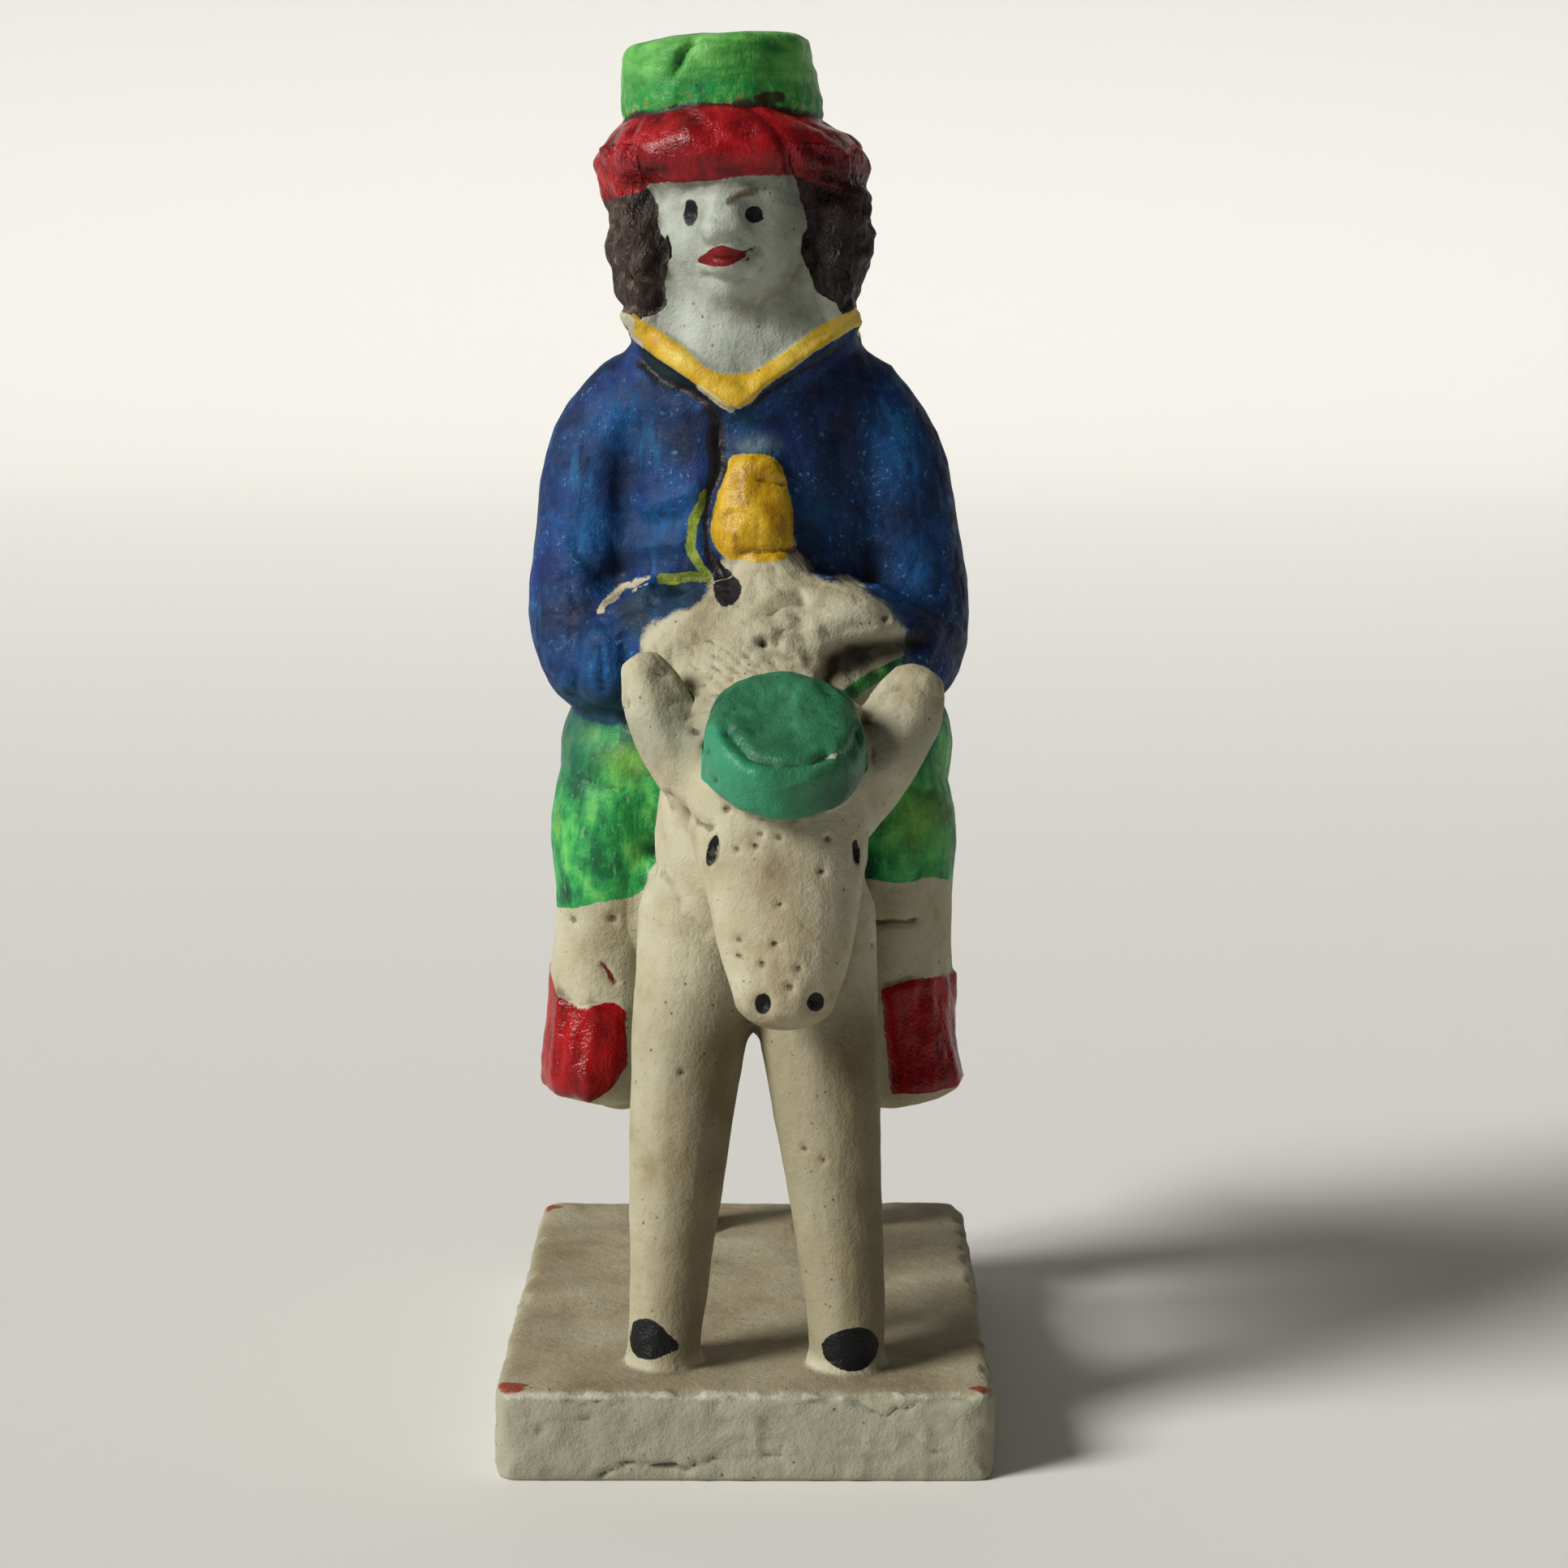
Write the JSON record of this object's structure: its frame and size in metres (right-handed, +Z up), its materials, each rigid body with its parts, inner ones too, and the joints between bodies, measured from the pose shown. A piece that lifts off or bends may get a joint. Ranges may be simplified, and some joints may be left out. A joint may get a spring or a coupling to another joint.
{
  "type": "ceramic whistle figure",
  "caption": "Hand-modelled clay figure of a rider in a rolled-brim hat on a horse with a pompon, standing on a slab, with a whistle in the horse's tail.",
  "frame": {"origin": "middle of the slab's underside", "axes": "+Z up, -Y the way the rider and the horse face, +X to the right as seen from the front"},
  "size_m": [0.062, 0.1005, 0.1781],
  "materials": {
    "painted_clay": "satin painted fired clay with cream slip"
  },
  "bodies": {
    "root": {"whistle_figure": "painted_clay"}
  },
  "joints": []
}
